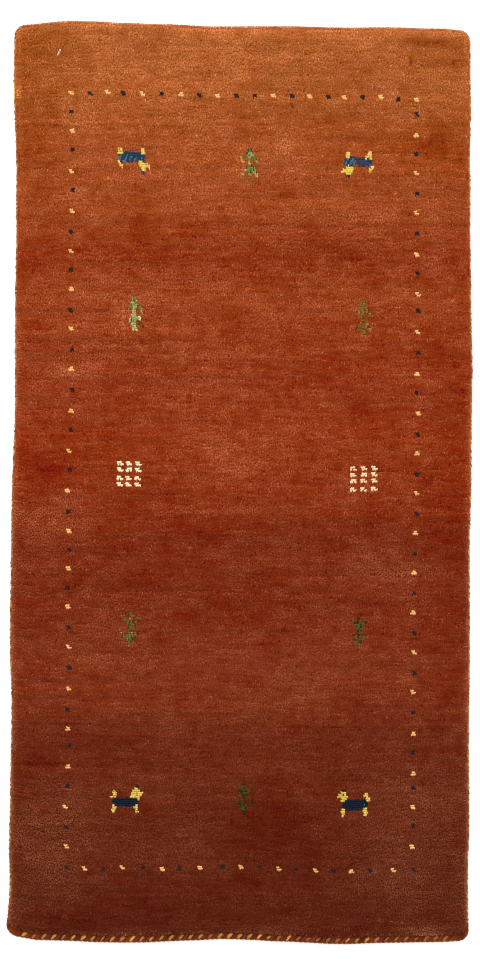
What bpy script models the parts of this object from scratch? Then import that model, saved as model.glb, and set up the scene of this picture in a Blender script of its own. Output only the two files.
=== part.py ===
# A wool pile rug lying flat: one knotted pile field, a cord along each side
# and a whipped band along the lower end. +Y runs towards the rug's upper end.
# The rug's plan is a rectangle with round corners whose edges wander a little.
from collections import namedtuple

import bmesh
import bpy
import numpy as np

MM = 0.001

# Plan
RUG_WIDTH = 700 * MM
RUG_LENGTH = 1400 * MM
CORNER_RADIUS = 16 * MM
SMALLEST_RADIUS = 5 * MM

# Pile
PILE_TOP = 13.6 * MM
PILE_FADE = 60 * MM         # the lumps die away over this distance from the rim

# Side cords and end band
CORD_WIDTH = 7.0 * MM
BAND_WIDTH = 13.0 * MM
UPPER_WIDTH = 3.6 * MM      # what is left of a cord where it turns round the upper corner
END_GAP = 0.5 * MM          # between a cord's end and the band's end
STITCH_PITCH = 7.5 * MM     # one whipping stitch; two colours take turns
STITCH_LEAN = 9.0 * MM
STITCH_DEPTH = 0.16         # share by which the band draws in between two stitches
LEAN_FADE = 50 * MM         # the lean dies away over this distance from the band's ends
BAND_LOW_RUN = 40 * MM      # length of the band's low end, round the corner
BAND_RISE_RUN = 30 * MM     # length over which it reaches its full height

# Mesh density
CORNER_CELLS = 3
CELLS_ACROSS = 24
CELLS_ALONG = 38

# Stations on the rim are counted anticlockwise from the lower left corner
COLUMNS = CELLS_ACROSS + 2 * CORNER_CELLS
ROWS = CELLS_ALONG + 2 * CORNER_CELLS
RIM_STATIONS = 2 * (COLUMNS + ROWS)
BAND_REACH = CORNER_CELLS + 0.3      # how far the band runs up each side, in stations
CORD_REACH = 2.0                     # how far a cord runs round its upper corner
PATH_STEPS = 400                     # points that measure the band's run along the rim

HALF_WIDTH = RUG_WIDTH / 2
HALF_LENGTH = RUG_LENGTH / 2
CELL_LENGTH = (RUG_LENGTH - 2 * CORNER_RADIUS) / CELLS_ALONG

# Rims set in from the plan at the sides, the lower end and the upper end
OUTER_RIM = (0.0, 0.0, 0.0)
SEWN_RIM = (CORD_WIDTH, BAND_WIDTH, UPPER_WIDTH)

PILE_COLOUR = (0.28, 0.07, 0.025)
CORD_COLOUR = (0.32, 0.12, 0.05)
BAND_COLOUR = (0.45, 0.22, 0.06)
PILE_ROUGHNESS = 0.95
SEWN_ROUGHNESS = 0.9
SHARP_EDGE = np.radians(40.0)

# How far each edge wanders out of the rectangle, in millimetres
Edge = namedtuple("Edge", "along out")
LEFT_EDGE = [Edge(-700, 7.0), Edge(-668, 6.6), Edge(-645, 2.8), Edge(-620, 1.5), Edge(-578, 3.2),
             Edge(-500, 1.6), Edge(-345, -1.0), Edge(-250, 1.6), Edge(-60, -0.6), Edge(125, -6.2),
             Edge(264, -6.2), Edge(378, -8.0), Edge(440, -7.9), Edge(490, -8.5), Edge(530, -6.9),
             Edge(600, -4.2), Edge(700, -5.4)]
RIGHT_EDGE = [Edge(-700, 0.8), Edge(-600, -0.5), Edge(-520, 2.0), Edge(-400, 1.2), Edge(-260, 2.8),
              Edge(-90, 2.4), Edge(0, 5.0), Edge(110, 5.6), Edge(187, 6.8), Edge(260, 5.1),
              Edge(340, 4.2), Edge(400, 3.2), Edge(455, 4.0), Edge(510, 2.5), Edge(569, 4.5),
              Edge(620, 3.8), Edge(700, 3.4)]
LOWER_EDGE = [Edge(-350, -7.2), Edge(-305, 0.3), Edge(-270, 1.2), Edge(-200, 4.2), Edge(-150, 4.4),
              Edge(-75, 1.4), Edge(-20, -1.2), Edge(30, 0.6), Edge(60, 2.6), Edge(160, 6.9),
              Edge(215, 4.9), Edge(300, 3.7), Edge(350, 1.6)]
UPPER_EDGE = [Edge(-350, -0.6), Edge(-259, 6.1), Edge(-213, 5.1), Edge(-190, 3.1), Edge(-120, 1.1),
              Edge(-40, -2.4), Edge(60, -2.1), Edge(165, -4.2), Edge(215, -3.6), Edge(300, -5.6),
              Edge(350, -9.0)]

# The pile field's rim from the floor up: how far each level stands in from the plan
# at the sides, at the lower end and at the upper end, in millimetres. The cords lie
# under the overhang of the sides, and the pile leans out over the upper end.
Level = namedtuple("Level", "z side lower upper")
PILE_RIM = [
    Level(z=0.0, side=7.45, lower=13.45, upper=4.05),
    Level(z=7.4, side=7.45, lower=13.45, upper=4.05),
    Level(z=7.7, side=4.2, lower=13.5, upper=1.6),
    Level(z=9.5, side=2.6, lower=13.9, upper=0.0),
    Level(z=11.6, side=3.8, lower=15.2, upper=1.4),
    Level(z=12.9, side=7.4, lower=18.4, upper=5.0),
    Level(z=13.5, side=13.0, lower=24.0, upper=11.0),
]

# Long low waves of the pile, in millimetres: height, wavelength across and along, and phase in turns
Wave = namedtuple("Wave", "height across along phase")
PILE_WAVES = [
    Wave(height=0.45, across=310, along=520, phase=0.10),
    Wave(height=0.35, across=-190, along=270, phase=0.45),
    Wave(height=0.25, across=900, along=120, phase=0.70),
]

# Sections of what is sewn to the rim: share of the width from the outer to the inner
# side, and height in millimetres
Section = namedtuple("Section", "share z")
CORD_SECTION = [Section(0.24, 0.0), Section(0.0, 2.2), Section(0.04, 4.8), Section(0.3, 6.7),
                Section(0.68, 6.8), Section(0.94, 5.2), Section(1.0, 2.8), Section(0.8, 0.0)]
BAND_SECTION = [Section(0.12, 0.0), Section(0.0, 2.4), Section(0.05, 5.6), Section(0.28, 7.8),
                Section(0.62, 8.6), Section(0.92, 7.4), Section(1.0, 5.2), Section(0.97, 0.0)]


def ease(share):
    """Smooth step from 0 to 1."""
    share = np.clip(share, 0.0, 1.0)
    return share * share * (3.0 - 2.0 * share)


def wander(edge, along):
    """Outward shift of an edge at a place along it, eased from one table row to the next."""
    at = np.array([row.along for row in edge]) * MM
    out = np.array([row.out for row in edge]) * MM
    first = np.clip(np.searchsorted(at, along) - 1, 0, len(at) - 2)
    share = ease((along - at[first]) / (at[first + 1] - at[first]))
    return out[first] + (out[first + 1] - out[first]) * share


def to_plan(x, y):
    """Carries points of the true rectangle to the rug's wandering plan."""
    across = (x / HALF_WIDTH + 1.0) / 2.0
    upward = (y / HALF_LENGTH + 1.0) / 2.0
    shift_x = wander(RIGHT_EDGE, y) * across - wander(LEFT_EDGE, y) * (1.0 - across)
    shift_y = wander(UPPER_EDGE, x) * upward - wander(LOWER_EDGE, x) * (1.0 - upward)
    return x + shift_x, y + shift_y


def grid_line(low, high, radius, cells):
    """Places along one axis: corner cells, even cells between them, corner cells."""
    corner = np.linspace(0.0, radius, CORNER_CELLS + 1)[:-1]
    middle = np.linspace(low + radius, high - radius, cells + 1)
    return np.concatenate([low + corner, middle, (high - corner)[::-1]])


def plan_grid(side, lower, upper):
    """Grid over a round-cornered rectangle set in from the plan, already on the wandering plan."""
    radius = max(CORNER_RADIUS - side, SMALLEST_RADIUS)
    left, right = side - HALF_WIDTH, HALF_WIDTH - side
    bottom, top = lower - HALF_LENGTH, HALF_LENGTH - upper
    x, y = np.meshgrid(grid_line(left, right, radius, CELLS_ACROSS),
                       grid_line(bottom, top, radius, CELLS_ALONG), indexing="ij")
    centre_x = np.clip(x, left + radius, right - radius)
    centre_y = np.clip(y, bottom + radius, top - radius)
    out_x = (x - centre_x) / radius
    out_y = (y - centre_y) / radius
    x = centre_x + radius * out_x * np.sqrt(1.0 - out_y ** 2 / 2.0)
    y = centre_y + radius * out_y * np.sqrt(1.0 - out_x ** 2 / 2.0)
    return to_plan(x, y)


def rim_of(grid):
    """The grid's border, anticlockwise from the lower left corner."""
    return np.concatenate([grid[:-1, 0], grid[-1, :-1], grid[:0:-1, -1], grid[0, :0:-1]])


def rim_loop(side, lower, upper):
    x, y = plan_grid(side, lower, upper)
    return np.stack([rim_of(x), rim_of(y)], axis=1)


def pile_lumps(x, y):
    """Height of the pile's long low waves, fading out at the rim."""
    height = np.zeros_like(x)
    for wave in PILE_WAVES:
        turns = x / (wave.across * MM) + y / (wave.along * MM) + wave.phase
        height += wave.height * MM * np.sin(2.0 * np.pi * turns)
    from_rim = np.minimum(HALF_WIDTH - np.abs(x), HALF_LENGTH - np.abs(y))
    return height * ease(from_rim / PILE_FADE)


def new_material(name, colour, roughness):
    material = bpy.data.materials.new(name)
    material.use_nodes = True
    shader = material.node_tree.nodes["Principled BSDF"]
    shader.inputs["Base Color"].default_value = (*colour, 1.0)
    shader.inputs["Roughness"].default_value = roughness
    shader.inputs["Metallic"].default_value = 0.0
    material.diffuse_color = (*colour, 1.0)
    return material


def new_piece(name, points, faces, material, parent):
    mesh = bpy.data.meshes.new(name)
    mesh.from_pydata([tuple(point) for point in points], [], faces)
    mesh.materials.append(material)
    work = bmesh.new()
    work.from_mesh(mesh)
    bmesh.ops.recalc_face_normals(work, faces=work.faces)
    work.to_mesh(mesh)
    work.free()
    mesh.shade_smooth()
    mesh.set_sharp_from_angle(angle=SHARP_EDGE)
    piece = bpy.data.objects.new(name, mesh)
    piece.parent = parent
    bpy.context.scene.collection.objects.link(piece)
    return piece


def make_pile_field(parent):
    """One flat slab: a flat underside, a rim of stacked levels and a gently waving top."""
    points = []
    for level in PILE_RIM:
        loop = rim_loop(level.side * MM, level.lower * MM, level.upper * MM)
        points += [(x, y, level.z * MM) for x, y in loop]
    last = PILE_RIM[-1]
    x, y = plan_grid(last.side * MM, last.lower * MM, last.upper * MM)
    z = PILE_TOP + pile_lumps(x, y)

    # the top grid's border is the last level's loop, so only its inner points are new
    number = np.zeros(x.shape, dtype=int)
    number[1:-1, 1:-1] = len(points) + np.arange((COLUMNS - 1) * (ROWS - 1)).reshape(COLUMNS - 1, ROWS - 1)
    border = (len(PILE_RIM) - 1) * RIM_STATIONS + np.arange(RIM_STATIONS)
    number[:-1, 0] = border[:COLUMNS]
    number[-1, :-1] = border[COLUMNS:COLUMNS + ROWS]
    number[:0:-1, -1] = border[COLUMNS + ROWS:2 * COLUMNS + ROWS]
    number[0, :0:-1] = border[2 * COLUMNS + ROWS:]
    inner = (slice(1, -1), slice(1, -1))
    points += list(zip(x[inner].ravel(), y[inner].ravel(), z[inner].ravel()))

    faces = [list(range(RIM_STATIONS))[::-1]]
    for level in range(len(PILE_RIM) - 1):
        for station in range(RIM_STATIONS):
            low = level * RIM_STATIONS + station
            low_next = level * RIM_STATIONS + (station + 1) % RIM_STATIONS
            faces.append([low, low_next, low_next + RIM_STATIONS, low + RIM_STATIONS])
    for i in range(COLUMNS):
        for j in range(ROWS):
            faces.append([int(number[i, j]), int(number[i + 1, j]), int(number[i + 1, j + 1]), int(number[i, j + 1])])
    return new_piece("pile_field", points, faces, new_material("pile_wool", PILE_COLOUR, PILE_ROUGHNESS), parent)


def at_station(loop, station):
    """Points on a rim loop at fractional station numbers."""
    closed = np.vstack([loop, loop[:1]])
    turn = np.arange(RIM_STATIONS + 1)
    station = np.mod(station, RIM_STATIONS)
    return np.stack([np.interp(station, turn, closed[:, axis]) for axis in (0, 1)], axis=1)


def sections_of(section, places):
    """The section's shares and heights, repeated for each place along a strip."""
    shape = np.array(section)
    return np.tile(shape[:, 0], (places, 1)), np.tile(shape[:, 1], (places, 1)) * MM


def sew_to_rim(name, outer, inner, share, z, colour, parent):
    """A strip of cross sections between two rows of plan points, closed at both ends."""
    plan = outer[:, None, :] + (inner - outer)[:, None, :] * share[:, :, None]
    points = np.concatenate([plan, z[:, :, None]], axis=2).reshape(-1, 3)
    places, corners = share.shape
    faces = [list(range(corners)), list(range(len(points) - corners, len(points)))[::-1]]
    for place in range(places - 1):
        for corner in range(corners):
            here = place * corners + corner
            beside = place * corners + (corner + 1) % corners
            faces.append([here, here + corners, beside + corners, beside])
    return new_piece(name, points, faces, new_material(name + "_wool", colour, SEWN_ROUGHNESS), parent)


def make_side_cord(name, low, high, parent):
    """A plain cord under the pile's overhang, between two stations of the rim."""
    whole = np.arange(np.ceil(low), np.floor(high) + 1)
    station = np.unique(np.concatenate([[low], whole, [high]]))
    outer = at_station(rim_loop(*OUTER_RIM), station)
    inner = at_station(rim_loop(*SEWN_RIM), station)
    share, z = sections_of(CORD_SECTION, len(station))
    return sew_to_rim(name, outer, inner, share, z, CORD_COLOUR, parent)


def make_end_band(parent):
    """The whipped band: a low rib for each slanting stitch, from one side round to the other."""
    outer_loop = rim_loop(*OUTER_RIM)
    inner_loop = rim_loop(*SEWN_RIM)
    station = np.linspace(-BAND_REACH, COLUMNS + BAND_REACH, PATH_STEPS)
    steps = np.linalg.norm(np.diff(at_station(outer_loop, station), axis=0), axis=1)
    run = np.concatenate([[0.0], np.cumsum(steps)])
    half_stitches = 2 * round(run[-1] / STITCH_PITCH)
    place = np.linspace(0.0, run[-1], half_stitches + 1)
    from_end = np.minimum(place, run[-1] - place)
    lean = STITCH_LEAN * ease(from_end / LEAN_FADE)
    outer = at_station(outer_loop, np.interp(place - lean / 2, run, station))
    inner = at_station(inner_loop, np.interp(place + lean / 2, run, station))

    # as low as a cord at its two ends, where it passes under the pile's overhang
    share, z = sections_of(CORD_SECTION, len(place))
    full_share, full_z = sections_of(BAND_SECTION, len(place))
    rise = ease((from_end - BAND_LOW_RUN) / BAND_RISE_RUN)[:, None]
    share = share + (full_share - share) * rise
    z = z + (full_z - z) * rise
    between_stitches = (np.arange(len(place)) % 2 == 0)[:, None]
    draw_in = STITCH_DEPTH * between_stitches * (z > 0)
    share = share + (0.5 - share) * draw_in
    z = z * (1.0 - draw_in)
    return sew_to_rim("end_band", outer, inner, share, z, BAND_COLOUR, parent)


def main():
    for old in list(bpy.data.objects):
        bpy.data.objects.remove(old, do_unlink=True)
    rug = bpy.data.objects.new("rug", None)
    bpy.context.scene.collection.objects.link(rug)
    make_pile_field(rug)
    make_end_band(rug)
    band_end = BAND_REACH + END_GAP / CELL_LENGTH
    make_side_cord("side_cord_right", COLUMNS + band_end, COLUMNS + ROWS + CORD_REACH, rug)
    make_side_cord("side_cord_left", -ROWS - CORD_REACH, -band_end, rug)


main()
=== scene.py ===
import math

import bpy
import numpy as np
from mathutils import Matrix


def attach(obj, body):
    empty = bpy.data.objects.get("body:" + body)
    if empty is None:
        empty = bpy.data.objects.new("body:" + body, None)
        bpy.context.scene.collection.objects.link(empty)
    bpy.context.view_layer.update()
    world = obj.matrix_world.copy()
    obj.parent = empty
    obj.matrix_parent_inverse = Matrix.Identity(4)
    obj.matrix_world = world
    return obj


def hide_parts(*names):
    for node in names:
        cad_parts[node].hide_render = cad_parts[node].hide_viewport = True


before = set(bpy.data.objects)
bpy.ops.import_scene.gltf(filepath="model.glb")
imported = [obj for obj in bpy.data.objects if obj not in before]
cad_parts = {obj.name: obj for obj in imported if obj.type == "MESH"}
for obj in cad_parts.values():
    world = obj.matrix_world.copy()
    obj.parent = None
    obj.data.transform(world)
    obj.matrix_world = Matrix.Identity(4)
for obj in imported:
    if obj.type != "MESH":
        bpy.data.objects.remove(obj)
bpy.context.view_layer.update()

# A hand-knotted wool rug lying flat. Lengths are in metres, tables in millimetres.
# +Y runs towards the rug's upper end, and the pile leans that way.
mm = 0.001
rng = np.random.default_rng(41)

rug = {
    "halfWidth": 350 * mm,
    "halfLength": 700 * mm,
    "cornerRadius": 16,
    "smallestRadius": 5,
    # how far each edge wanders out of the rectangle: place along the edge, shift
    "leftEdge": [(-700, 7.0), (-668, 6.6), (-645, 2.8), (-620, 1.5), (-578, 3.2), (-500, 1.6), (-345, -1.0),
                 (-250, 1.6), (-60, -0.6), (125, -6.2), (264, -6.2), (378, -8.0), (440, -7.9), (490, -8.5),
                 (530, -6.9), (600, -4.2), (700, -5.4)],
    "rightEdge": [(-700, 0.8), (-600, -0.5), (-520, 2.0), (-400, 1.2), (-260, 2.8), (-90, 2.4),
                  (0, 5.0), (110, 5.6), (187, 6.8), (260, 5.1), (340, 4.2), (400, 3.2), (455, 4.0),
                  (510, 2.5), (569, 4.5), (620, 3.8), (700, 3.4)],
    "lowerEdge": [(-350, -7.2), (-305, 0.3), (-270, 1.2), (-200, 4.2), (-150, 4.4), (-75, 1.4),
                  (-20, -1.2), (30, 0.6), (60, 2.6), (160, 6.9), (215, 4.9), (300, 3.7), (350, 1.6)],
    "upperEdge": [(-350, -0.6), (-259, 6.1), (-213, 5.1), (-190, 3.1), (-120, 1.1), (-40, -2.4),
                  (60, -2.1), (165, -4.2), (215, -3.6), (300, -5.6), (350, -9.0)],
    "cornerCells": 3,
    "cellsAcross": 24,
    "cellsAlong": 38,
}
columns = rug["cellsAcross"] + 2 * rug["cornerCells"]
rows = rug["cellsAlong"] + 2 * rug["cornerCells"]
rimStations = 2 * (columns + rows)


def ease(share):
    # smooth step from 0 to 1: three times the share squared, less twice its cube
    share = np.clip(share, 0, 1)
    return share * share * (3 - 2 * share)


def wander(edge, along):
    # outward shift of an edge, eased from one row of its table to the next
    at = np.array([row[0] for row in edge]) * mm
    out = np.array([row[1] for row in edge]) * mm
    first = np.clip(np.searchsorted(at, along) - 1, 0, len(at) - 2)
    share = (along - at[first]) / (at[first + 1] - at[first])
    return out[first] + (out[first + 1] - out[first]) * ease(share)


def toPlan(x, y):
    # each point of the true rectangle moves by its two side edges' shifts, shared by how near
    # it is to each, and by its two end edges' shifts in the same way
    across = (x / rug["halfWidth"] + 1) / 2
    upward = (y / rug["halfLength"] + 1) / 2
    shiftX = wander(rug["rightEdge"], y) * across - wander(rug["leftEdge"], y) * (1 - across)
    shiftY = wander(rug["upperEdge"], x) * upward - wander(rug["lowerEdge"], x) * (1 - upward)
    return x + shiftX, y + shiftY


def gridLine(low, high, radius, cells):
    corner = np.linspace(0, radius, rug["cornerCells"] + 1)[:-1]
    return np.concatenate([low + corner, np.linspace(low + radius, high - radius, cells + 1),
                           (high - corner)[::-1]])


def planGrid(side, lower, upper):
    # a grid over the rectangle set in by so much at the sides and ends, whose corner cells are
    # a square pressed to a quarter disc: each offset times the root of one less half the other squared
    radius = max(rug["cornerRadius"] - side, rug["smallestRadius"]) * mm
    left, right = side * mm - rug["halfWidth"], rug["halfWidth"] - side * mm
    bottom, top = lower * mm - rug["halfLength"], rug["halfLength"] - upper * mm
    x, y = np.meshgrid(gridLine(left, right, radius, rug["cellsAcross"]),
                       gridLine(bottom, top, radius, rug["cellsAlong"]), indexing="ij")
    centreX = np.clip(x, left + radius, right - radius)
    centreY = np.clip(y, bottom + radius, top - radius)
    outX, outY = (x - centreX) / radius, (y - centreY) / radius
    return (centreX + radius * outX * np.sqrt(1 - outY ** 2 / 2),
            centreY + radius * outY * np.sqrt(1 - outX ** 2 / 2))


def rimOf(grid):
    # the grid's border, anticlockwise from the lower left corner
    return np.concatenate([grid[:-1, 0], grid[-1, :-1], grid[:0:-1, -1], grid[0, :0:-1]])


def rimLoop(side, lower, upper):
    x, y = toPlan(*planGrid(side, lower, upper))
    return np.stack([rimOf(x), rimOf(y)], axis=1)


def makeMesh(name, points, corners, starts):
    # points in rows of three, corners as one long row of point numbers, and where each face starts in it
    mesh = bpy.data.meshes.new(name)
    mesh.vertices.add(len(points))
    mesh.vertices.foreach_set("co", np.asarray(points, dtype=np.float32).ravel())
    mesh.loops.add(len(corners))
    mesh.loops.foreach_set("vertex_index", np.asarray(corners, dtype=np.int32))
    mesh.polygons.add(len(starts))
    mesh.polygons.foreach_set("loop_start", np.asarray(starts, dtype=np.int32))
    mesh.update(calc_edges=True)
    mesh.validate()
    return mesh


def repeatedMesh(name, points, pattern, each):
    # the same triangles over every so many points
    corners = (np.arange(len(points) // each)[:, None] * each + pattern).ravel()
    return makeMesh(name, points, corners, np.arange(0, len(corners), 3))


def putInScene(name, data):
    thing = bpy.data.objects.new(name, data)
    bpy.context.scene.collection.objects.link(thing)
    return thing


def addPiece(name, mesh, material, node):
    mesh.materials.append(material)
    piece = putInScene(name, mesh)
    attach(piece, "root")
    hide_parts(node)
    return piece


def addValues(mesh, **values):
    # one number or one colour for each point
    for name, value in values.items():
        value = np.asarray(value, dtype=np.float32)
        if value.ndim == 1:
            mesh.attributes.new(name, "FLOAT", "POINT").data.foreach_set("value", value)
        else:
            colour = np.concatenate([value, np.ones((len(value), 1), dtype=np.float32)], axis=1)
            mesh.attributes.new(name, "FLOAT_COLOR", "POINT").data.foreach_set("color", colour.ravel())


def addMap(mesh, name, places):
    mesh.uv_layers.new(name=name).data.foreach_set("uv", np.asarray(places, dtype=np.float32).ravel())


def dye(red, green, blue):
    # a dye of the chart as light: each channel over 255, to the power 2.2
    return tuple((channel / 255) ** 2.2 for channel in (red, green, blue))


def dyes(tints):
    return np.array([dye(*tint) for tint in tints])


wool = {
    # the skeins of the field from the lower end to the upper: place along the rug, dye
    "field": [(-700, (96, 40, 24)), (-540, (103, 43, 24)), (-380, (115, 49, 28)), (-320, (130, 57, 32)),
              (-270, (131, 58, 33)), (-200, (124, 49, 25)), (-80, (126, 50, 25)), (-30, (139, 57, 28)),
              (60, (148, 64, 32)), (150, (143, 61, 31)), (290, (149, 68, 33)), (345, (139, 57, 26)),
              (410, (153, 74, 37)), (530, (158, 81, 40)), (590, (164, 90, 45)), (700, (171, 98, 51))],
    "gain": 1.45,
    "streaks": (2.2, 90),       # cells a metre across and along
    "streakShift": 0.024,       # how far a streak carries the dye along the rug
    "streakTone": (0.88, 1.12),
    "skeins": (26, 70),         # cells a metre of the places that took the dye unevenly
    "browner": (0.985, 1.03, 0.99, 1),
    "redder": (1.015, 0.965, 1.01, 1),
    # the tint of the painted sheen that makes light tufts paler
    "paintedSheen": (1.0, 0.45, 0.20),
    "shader": {"Roughness": 0.95, "Specular IOR Level": 0.05, "Sheen Roughness": 0.5,
               "Sheen Tint": (1.0, 0.55, 0.36, 1)},
    # each wool's sheen, hairs a metre and relief
    "pile": (0.12, 1500.0, 0.0003),
    "ground": (0.1, 900.0, 0.0006),
    "back": (0.15, 2200.0, 0.0008),
    "yarn": (0.25, 1300.0, 0.0004),
    "atRoot": (0.35, 0.66),     # the share of a tuft's height that is in shade, and how much light is left
    "groundShade": 0.72,
}


def newNode(tree, kind, links=None, **settings):
    # a node with its settings, and what feeds each of its inputs: another node's output or a plain value
    node = tree.nodes.new(kind)
    for name, value in settings.items():
        setattr(node, name, value)
    for socket, value in (links or {}).items():
        if isinstance(value, bpy.types.NodeSocket):
            tree.links.new(value, node.inputs[socket])
        else:
            node.inputs[socket].default_value = value
    return node


def maths(tree, operation, first, second=0.0):
    return newNode(tree, "ShaderNodeMath", {0: first, 1: second}, operation=operation).outputs[0]


def remap(tree, value, low, high, toLow=0.0, toHigh=1.0):
    # a value carried from one range to another and held at its ends
    return newNode(tree, "ShaderNodeMapRange", {"Value": value, "From Min": low, "From Max": high,
                                                "To Min": toLow, "To Max": toHigh}).outputs[0]


def attribute(tree, name, output="Fac"):
    return newNode(tree, "ShaderNodeAttribute", attribute_name=name).outputs[output]


def colourMaths(tree, operation, first, second=(0, 0, 0)):
    return newNode(tree, "ShaderNodeVectorMath", {0: first, 1: second}, operation=operation).outputs[0]


def scaleColour(tree, colour, share):
    return newNode(tree, "ShaderNodeVectorMath", {0: colour, "Scale": share}, operation="SCALE").outputs[0]


def mixColour(tree, share, first, second):
    return newNode(tree, "ShaderNodeMix", {0: share, 6: first, 7: second}, data_type="RGBA").outputs[2]


def skeinNoise(tree, where, cells):
    # noise with so many cells a metre across and along, so that it is drawn out across the rug
    place = newNode(tree, "ShaderNodeMapping", {"Vector": where, "Scale": (*cells, 1)}).outputs[0]
    return newNode(tree, "ShaderNodeTexNoise", {"Vector": place, "Scale": 1.0, "Detail": 3.0}).outputs[0]


def newGroup(name, inputs, outputs):
    group = bpy.data.node_groups.new(name, "ShaderNodeTree")
    for socket, kind, value in inputs:
        made = group.interface.new_socket(socket, in_out="INPUT", socket_type=kind)
        if value is not None:
            made.default_value = value
    for socket, kind in outputs:
        group.interface.new_socket(socket, in_out="OUTPUT", socket_type=kind)
    return group, group.nodes.new("NodeGroupInput"), group.nodes.new("NodeGroupOutput")


def makeAbrashGroup():
    # the field's dye along the rug, with thin streaks where one dyed skein ends and the next starts
    group, given, out = newGroup("abrash", [("Vector", "NodeSocketVector", None)],
                                 [("Color", "NodeSocketColor")])
    where = given.outputs["Vector"]
    streak = skeinNoise(group, where, wool["streaks"])
    shift = maths(group, "MULTIPLY", maths(group, "SUBTRACT", streak, 0.5), wool["streakShift"])
    upward = newNode(group, "ShaderNodeSeparateXYZ", {0: where}).outputs["Y"]
    share = remap(group, maths(group, "ADD", upward, shift), -rug["halfLength"], rug["halfLength"])
    ramp = newNode(group, "ShaderNodeValToRGB", {0: share})
    stops = ramp.color_ramp.elements
    low, high = wool["field"][0][0], wool["field"][-1][0]
    for at, _ in wool["field"][1:-1]:
        stops.new((at - low) / (high - low))
    for stop, (_, tint) in zip(stops, wool["field"]):
        stop.color = (*[light * wool["gain"] for light in dye(*tint)], 1)
    toned = scaleColour(group, ramp.outputs[0], remap(group, streak, 0.25, 0.75, *wool["streakTone"]))
    # here redder, there browner, where the skeins took the dye unevenly
    redder = remap(group, skeinNoise(group, where, wool["skeins"]), 0.32, 0.68)
    tint = mixColour(group, redder, wool["browner"], wool["redder"])
    group.links.new(colourMaths(group, "MULTIPLY", toned, tint), out.inputs["Color"])
    return group


def makeFibreGroup():
    # spun wool seen close: a mottle of light and dark hairs, and their small relief
    group, given, out = newGroup(
        "woolFibre", [("Vector", "NodeSocketVector", None), ("Hair", "NodeSocketFloat", 2200.0)],
        [("Mottle", "NodeSocketFloat"), ("Height", "NodeSocketFloat")])
    where, hair = given.outputs["Vector"], given.outputs["Hair"]
    hairs = newNode(group, "ShaderNodeTexNoise",
                    {"Vector": where, "Scale": hair, "Detail": 2.0, "Roughness": 0.6}).outputs[0]
    clumps = newNode(group, "ShaderNodeTexNoise",
                     {"Vector": where, "Scale": 420.0, "Detail": 3.0}).outputs[0]
    mottle = maths(group, "ADD", maths(group, "MULTIPLY", hairs, 0.55),
                   maths(group, "MULTIPLY", clumps, 0.45))
    group.links.new(mottle, out.inputs["Mottle"])
    group.links.new(hairs, out.inputs["Height"])
    return group


print("mixing the dyes")
abrashGroup = makeAbrashGroup()
fibreGroup = makeFibreGroup()


def newWool(name, kind):
    # a wool material's nodes: its tree, the shader and the object's own coordinates
    material = bpy.data.materials.new(name)
    material.use_nodes = True
    tree = material.node_tree
    shader = tree.nodes["Principled BSDF"]
    for socket, value in {**wool["shader"], "Sheen Weight": wool[kind][0]}.items():
        shader.inputs[socket].default_value = value
    return material, tree, shader, newNode(tree, "ShaderNodeTexCoord").outputs["Object"]


def fieldDye(tree, where):
    return newNode(tree, "ShaderNodeGroup", {"Vector": where}, node_tree=abrashGroup).outputs["Color"]


def fibres(tree, where, hair):
    # the light and dark of the hairs, and their height
    node = newNode(tree, "ShaderNodeGroup", {"Vector": where, "Hair": hair}, node_tree=fibreGroup)
    return node.outputs["Mottle"], node.outputs["Height"]


def addRelief(tree, shader, height, relief, strength):
    bump = newNode(tree, "ShaderNodeBump", {"Height": height, "Distance": relief, "Strength": strength})
    tree.links.new(bump.outputs[0], shader.inputs["Normal"])


def finishWool(tree, shader, where, colour, kind):
    # the mottle scales the colour and roughness, the hairs give the relief
    _, hair, relief = wool[kind]
    mottle, height = fibres(tree, where, hair)
    toned = scaleColour(tree, colour, remap(tree, mottle, 0.3, 0.7, 0.88, 1.12))
    tree.links.new(toned, shader.inputs["Base Color"])
    tree.links.new(remap(tree, mottle, 0.3, 0.7, 1.0, 0.82), shader.inputs["Roughness"])
    addRelief(tree, shader, height, relief, 0.6)


def makePileWool():
    # field dye or a figure's dye, plus a painted sheen: its tint times the red of the dye times the tuft's
    # tone less one, so that light tufts are paler, as if their tips caught the light, and dark ones deeper;
    # painted shade towards the root
    material, tree, shader, where = newWool("pileWool", "pile")
    dyed = attribute(tree, "dyed", "Color")
    colour = mixColour(tree, attribute(tree, "figured"), fieldDye(tree, where), dyed)
    red = newNode(tree, "ShaderNodeSeparateXYZ", {0: colour}).outputs["X"]
    lighter = maths(tree, "SUBTRACT", attribute(tree, "tone"), 1.0)
    paintedSheen = scaleColour(tree, wool["paintedSheen"], maths(tree, "MULTIPLY", red, lighter))
    colour = colourMaths(tree, "MAXIMUM", colourMaths(tree, "ADD", colour, paintedSheen))
    # painted shade: each tuft's colour darkens towards its root
    shaded, light = wool["atRoot"]
    rootShade = remap(tree, attribute(tree, "fromRoot"), shaded, 1.0, light)
    finishWool(tree, shader, where, scaleColour(tree, colour, rootShade), "pile")
    return material


def makeGroundWool():
    # the wool low between the tufts: the field's dye in shade
    material, tree, shader, where = newWool("groundWool", "ground")
    colour = scaleColour(tree, fieldDye(tree, where), wool["groundShade"])
    finishWool(tree, shader, where, colour, "ground")
    return material


def ripples(tree, value, turns):
    # round ridges with narrow dips between them: the root of the sine's size
    wave = maths(tree, "ABSOLUTE", maths(tree, "SINE", maths(tree, "MULTIPLY", value, turns * math.pi)))
    return maths(tree, "POWER", wave, 0.5)


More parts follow.
